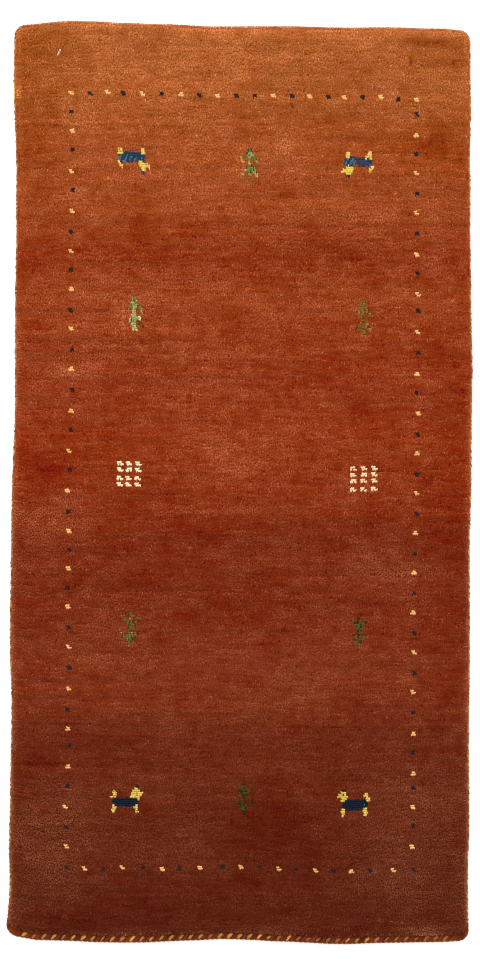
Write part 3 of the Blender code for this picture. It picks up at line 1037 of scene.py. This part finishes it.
def tubeMesh(name, points, folds):
    # rings of points joined to a closed tube with a flat cap at each end; the bake's map folds
    # the long tube into rows
    places, around = points.shape[:2]
    number = np.arange(places * around).reshape(places, around)
    beside = np.roll(number, -1, axis=1)
    quads = np.stack([number[:-1], number[1:], beside[1:], beside[:-1]], axis=2).reshape(-1, 4)
    corners = np.concatenate([quads.ravel(), number[0], number[-1][::-1]])
    starts = np.concatenate([np.arange(0, quads.size, 4), [quads.size, quads.size + around]])
    mesh = makeMesh(name, points.reshape(-1, 3), corners, starts)
    place, turn = np.meshgrid(np.arange(places - 1), np.arange(around), indexing="ij")
    along = np.stack([place, place + 1, place + 1, place], axis=2) / (places - 1)
    fold = np.minimum(place * folds // (places - 1), folds - 1)[:, :, None]
    aroundShare = np.stack([turn, turn, turn + 1, turn + 1], axis=2) / around
    u = along * folds - fold
    v = (fold + 0.06 + 0.88 * aroundShare) / folds
    step = np.arange(around)
    cap = 0.001 + 0.001 * np.stack([np.cos(step), np.sin(step)], axis=1)
    addMap(mesh, "OFBake", np.concatenate([np.stack([u, v], axis=3).reshape(-1, 2), cap, cap]))
    mesh.shade_smooth()
    return mesh


cord = {
    # across from the rim to the sewn edge as a share, and height
    "section": [(0.24, 0), (0, 2.2), (0.04, 4.8), (0.3, 6.7), (0.68, 6.8), (0.94, 5.2), (1, 2.8), (0.8, 0)],
    "sewnRim": (7.0, 13.0, 3.6),
    "wrap": 3.1,          # pitch of the wrapping yarn
    "lean": 2.4,
    "depth": 0.13,        # how far the cord draws in between two wraps
    "middle": 3.4,        # towards this height
    "flat": 0.2,          # what lies lower stays on the floor
    "uneven": 0.10,       # of the wraps' girth
    "around": 12,
    "stepsAWrap": 4,
    "folds": 14,          # rows of the bake's map
    "reach": 2.0,
    "endGap": 0.5,
    # each dye and its share of the wraps
    "dyes": [((170, 104, 60), 0.45), ((184, 122, 74), 0.25), ((206, 162, 106), 0.14),
             ((124, 70, 40), 0.16)],
    "gain": 0.78,
    "tone": 0.10,
    # painted shade between two wraps, where the cord draws in
    "grooveShade": 0.45,       # darker between two wraps
    # painted light: the right cord is made lighter to make up for the shade that the lamp on the left
    # leaves on its outer side
    "lighter": {"side_cord_left": 1.0, "side_cord_right": 1.15},
    "beside": (150, 0.72, 0.6),            # red of a full field dye, least share of it, and how much counts
    "mend": (589, 612, (200, 148, 70)),    # a stretch of the left cord wrapped in gold
}
band = {
    "section": [(0.12, 0), (0, 2.4), (0.05, 5.6), (0.28, 7.8), (0.62, 8.6), (0.92, 7.4), (1, 5.2),
                (0.97, 0)],
    "stitch": 7.5,
    "strands": 3,         # yarns side by side in one stitch
    "lean": 9.0,
    "leanFade": 50,
    "reach": 3.3,         # stations that the band runs up each side
    "lowRun": 40,
    "riseRun": 30,
    "depth": (0.12, 0.05),    # how far it draws in between two stitches and between two strands
    "around": 28,
    "step": 0.62,
    "folds": 12,
    "gold": (0.14, 0.75),     # how far a gold stitch shows, from the outer rim
    "goldSpread": 0.04,
    "goldWidth": (0.85, 1.25),
    "goldFrays": 0.10,
    "goldAbove": 2,
    "goldRun": (-338, 323),
    "golds": [(198, 136, 64), (190, 132, 46), (188, 124, 64)],
    "goldOdds": (0.45, 0.25, 0.3),
    "dull": (160, 94, 54),    # and where the dull gold stitches are, besides a few
    "dullRuns": [(-282, -262), (-222, -198), (74, 140), (216, 352)],
    "dullOdds": 0.15,
    "rusts": [(119, 52, 19), (99, 39, 16), (110, 45, 26)],
    "rustOdds": (0.6, 0.25, 0.15),
    "edge": (134, 88, 36),    # some strands at the outer rim
    "edgeShare": (0.10, 0.6),
    "paler": (0.35, 95),      # more light at the band's two ends, and how far it reaches
    "tone": (0.08, 0.17),     # spread from stitch to stitch and from strand to strand
    # painted shade between two stitches and between two strands
    "grooveShade": (0.35, 0.25),   # darker between two stitches and between two strands
    "gain": 0.68,
}


def pathAlong(low, high, step):
    # even places along the rug's rim between two stations: the run so far and its station
    outer = rimLoop(0, 0, 0)
    station = np.linspace(low, high, 4000)
    walked = np.linalg.norm(np.diff(atStation(outer, station), axis=0), axis=1)
    run = np.concatenate([[0], np.cumsum(walked)])
    place = np.linspace(0, run[-1], int(run[-1] / step) + 1)
    return place, run, station


def sweep(share, z, place, lean, run, station):
    # between the outer rim and the sewn rim, at each share of the way; a place slides along the rim
    # by its lean, so that the wraps slant
    slid = place[:, None] + lean * (share - 0.5)
    at = np.interp(np.clip(slid, 0, run[-1]), run, station)
    outer, inner = (atStation(rimLoop(*inset), at.ravel()).reshape(*share.shape, 2)
                    for inset in ((0, 0, 0), cord["sewnRim"]))
    plan = outer + (inner - outer) * share[:, :, None]
    return np.concatenate([plan, z[:, :, None]], axis=2)


def between(turns):
    # 1 where one wrap or stitch meets the next, 0 at its middle: one less the sine's size
    return 1 - np.abs(np.sin(np.pi * turns))


def makeSideCord(name, node, low, high, material):
    # the section is drawn in between two wraps by a share of the depth, and each wrap has its own girth
    place, run, station = pathAlong(low, high, cord["wrap"] * mm / cord["stepsAWrap"])
    wraps = place / (cord["wrap"] * mm)
    number = np.floor(wraps).astype(int)
    count = number.max() + 1
    share, z = (np.tile(line, (len(place), 1)) for line in smoothSection(cord["section"], cord["around"]))
    z = z * mm
    drawIn = (cord["depth"] * between(wraps))[:, None]
    girth = rng.normal(0, cord["uneven"], count)[number][:, None]
    share = share + (0.5 - share) * (drawIn + girth)
    z = z + (cord["middle"] * mm - z) * drawIn * (z > cord["flat"] * mm)
    points = sweep(share, z, place, cord["lean"] * mm, run, station)
    mesh = tubeMesh(name, points, cord["folds"])
    tints, odds = zip(*cord["dyes"])
    pick = np.minimum(np.searchsorted(np.cumsum(odds), rng.random(count)), len(odds) - 1)
    wrapped = (dyes(tints) * cord["gain"])[pick[number]]
    tones = np.exp(rng.normal(0, cord["tone"], count))[number]
    # the cord takes its depth of dye from the field beside it
    fullDye, least, follows = cord["beside"]
    at, depth = np.array([(at, tint[0] / fullDye) for at, tint in wool["field"]]).T
    x, y = points[:, 0, 0], points[:, 0, 1]
    beside = np.interp(y, at * mm, np.maximum(depth, least)) ** follows
    low, high, mended = cord["mend"]
    isMended = (y > low * mm) & (y < high * mm) & (x < 0)
    wrapped = np.where(isMended[:, None], np.array(dye(*mended)), wrapped)
    # painted shade between two wraps
    grooveShade = 1 - cord["grooveShade"] * between(wraps) ** 2
    # the right cord's tone is raised by painted light
    addValues(mesh, dyed=np.repeat(wrapped, cord["around"], axis=0),
              tone=np.repeat(tones * beside * grooveShade * cord["lighter"][node], cord["around"]))
    return addPiece(name, mesh, material, node)


def makeEndBand(material):
    # the cord's section rises to the band's, with gold and rust stitches in turn; each stitch is drawn in
    # at its edges and dips a little between its strands, with painted shade between two stitches and
    # between two strands
    place, run, station = pathAlong(-band["reach"], columns + band["reach"], band["step"] * mm)
    around = band["around"]
    lowShare, lowZ = smoothSection(cord["section"], around)
    fullShare, fullZ = smoothSection(band["section"], around)
    fromEnd = np.minimum(place, run[-1] - place)
    rise = ease((fromEnd - band["lowRun"] * mm) / (band["riseRun"] * mm))[:, None]
    flat = lowShare + (fullShare - lowShare) * rise
    z = (lowZ + (fullZ - lowZ) * rise) * mm
    stitches = place / (band["stitch"] * mm)
    strands = stitches * band["strands"]
    atStitch, atStrand = between(stitches) ** 2, between(strands) ** 2
    drawIn = (band["depth"][0] * atStitch + band["depth"][1] * atStrand)[:, None]
    share = flat + (0.5 - flat) * drawIn
    z = z * (1 - drawIn * (z > cord["flat"] * mm))
    lean = band["lean"] * mm * ease(fromEnd / (band["leanFade"] * mm))
    points = sweep(share, z, place, lean[:, None], run, station)
    mesh = tubeMesh("endBand", points, band["folds"])
    number, strand = np.floor(stitches).astype(int), np.floor(strands).astype(int)
    count, strandCount = number.max() + 1, strand.max() + 1
    # a gold stitch is a leaf: its half width is its place's share to the power 0.6, times the root
    # of one less the sixth power of that share
    low, high = (limit + rng.normal(0, band["goldSpread"], count)[number][:, None]
                 for limit in band["gold"])
    up = np.clip((flat - low) / (high - low), 0, 1)
    leaf = up ** 0.6 * np.sqrt(1 - up ** 6) * rng.uniform(*band["goldWidth"], count)[number][:, None]
    across = np.abs(stitches - number - 0.5)[:, None] * 2
    x = points[:, around // 3, 0] / mm
    middle = np.array([x[number == stitch].mean() for stitch in range(count)])
    first, last = band["goldRun"]
    canShow = ((np.arange(count) % 2 == 0) & (middle > first) & (middle < last))[number]
    frayed = rng.normal(0, band["goldFrays"], share.shape) * (leaf > 0)
    isGold = canShow[:, None] & (across < leaf + frayed) & (z > band["goldAbove"] * mm)
    isDull = np.any([(middle > low) & (middle < high) for low, high in band["dullRuns"]], axis=0)
    isDull |= rng.random(count) < band["dullOdds"]
    golds = dyes(band["golds"])[rng.choice(3, count, p=band["goldOdds"])]
    golds[isDull] = dye(*band["dull"])
    rusts = dyes(band["rusts"])[rng.choice(3, strandCount, p=band["rustOdds"])]
    colour = np.where(isGold[:, :, None], golds[number][:, None, :], rusts[strand][:, None, :])
    outermost, odds = band["edgeShare"]
    isEdge = (flat < outermost) & (rng.random(strandCount) < odds)[strand][:, None]
    colour = np.where(isEdge[:, :, None], np.array(dye(*band["edge"])), colour)
    paler, reach = band["paler"]
    tones = 1 + paler * (1 - ease(fromEnd / (reach * mm)))
    for which, spread in zip((number, strand), band["tone"]):
        tones *= np.exp(rng.normal(0, spread, which.max() + 1))[which]
    # painted shade between two stitches and between two strands
    tones *= (1 - band["grooveShade"][0] * atStitch) * (1 - band["grooveShade"][1] * atStrand)
    addValues(mesh, dyed=colour.reshape(-1, 3) * band["gain"], tone=np.repeat(tones, around))
    return addPiece("endBand", mesh, material, "end_band")


view = {
    "centre": (0.0008, 0.0046),
    "distance": 6.0,
    "sensor": 36,
    "seen": 1.4654,       # length of the rug's plane that fills the picture's long side
    "floor": 60,
    "floorPaint": {"Base Color": (0.97, 0.97, 0.97, 1), "Roughness": 0.9},
    "world": {"Color": (1, 0.995, 0.985, 1), "Strength": 1.25},
    "key": {"at": (-0.9, 2.4, 4.2), "size": 2.4, "power": 100},
    "filter": 1.1,
}


def setInputs(owner, node, values):
    owner.use_nodes = True
    for socket, value in values.items():
        owner.node_tree.nodes[node].inputs[socket].default_value = value


def makeStudio():
    # a camera straight above, a wide pale floor, an even sky and one soft lamp up the rug
    scene = bpy.context.scene
    camera = bpy.data.cameras.new("camera")
    camera.sensor_width = view["sensor"]
    camera.lens = view["sensor"] * view["distance"] / view["seen"]
    camera.clip_end = 100
    scene.camera = putInScene("camera", camera)
    scene.camera.location = (*view["centre"], view["distance"] + pile["top"] * mm)

    half = view["floor"] / 2
    floorMesh = bpy.data.meshes.new("floor")
    floorMesh.from_pydata([(-half, -half, 0), (half, -half, 0), (half, half, 0), (-half, half, 0)], [],
                          [(0, 1, 2, 3)])
    paint = bpy.data.materials.new("floorPaint")
    setInputs(paint, "Principled BSDF", view["floorPaint"])
    floorMesh.materials.append(paint)
    putInScene("floor", floorMesh)

    scene.world = bpy.data.worlds.new("studio")
    setInputs(scene.world, "Background", view["world"])

    key = view["key"]
    light = bpy.data.lights.new("key", "AREA")
    light.size = key["size"]
    light.energy = key["power"]
    lamp = putInScene("key", light)
    lamp.location = key["at"]
    x, y, z = key["at"]
    lamp.rotation_euler = (math.atan2(math.hypot(x, y), z), 0, math.atan2(y, x) + math.pi / 2)
    scene.view_settings.view_transform = "Standard"
    scene.cycles.filter_width = view["filter"]


print("knotting the pile")
pileWool = makePileWool()
strips, chart, chartX, chartY = makePile(pileWool)
rimPiece = makePileRim(pileWool)
print("weaving the ground")
groundPiece = makeGround(makeGroundWool(), makeBackWool())
backs = makeKnotBacks(makeYarnWool("knotBackWool"), chart, chartX, chartY)
print("wrapping the cords and the band")
cellLength = (2 * rug["halfLength"] - 2 * rug["cornerRadius"] * mm) / rug["cellsAlong"]
bandEnd = band["reach"] + cord["endGap"] * mm / cellLength
cordWool = makeYarnWool("sideCordWool")
cordRight = makeSideCord("sideCordRight", "side_cord_right", columns + bandEnd,
                         columns + rows + cord["reach"], cordWool)
cordLeft = makeSideCord("sideCordLeft", "side_cord_left", -rows - cord["reach"], -bandEnd, cordWool)
endBand = makeEndBand(makeYarnWool("endBandWool"))
print("setting up the studio")
makeStudio()
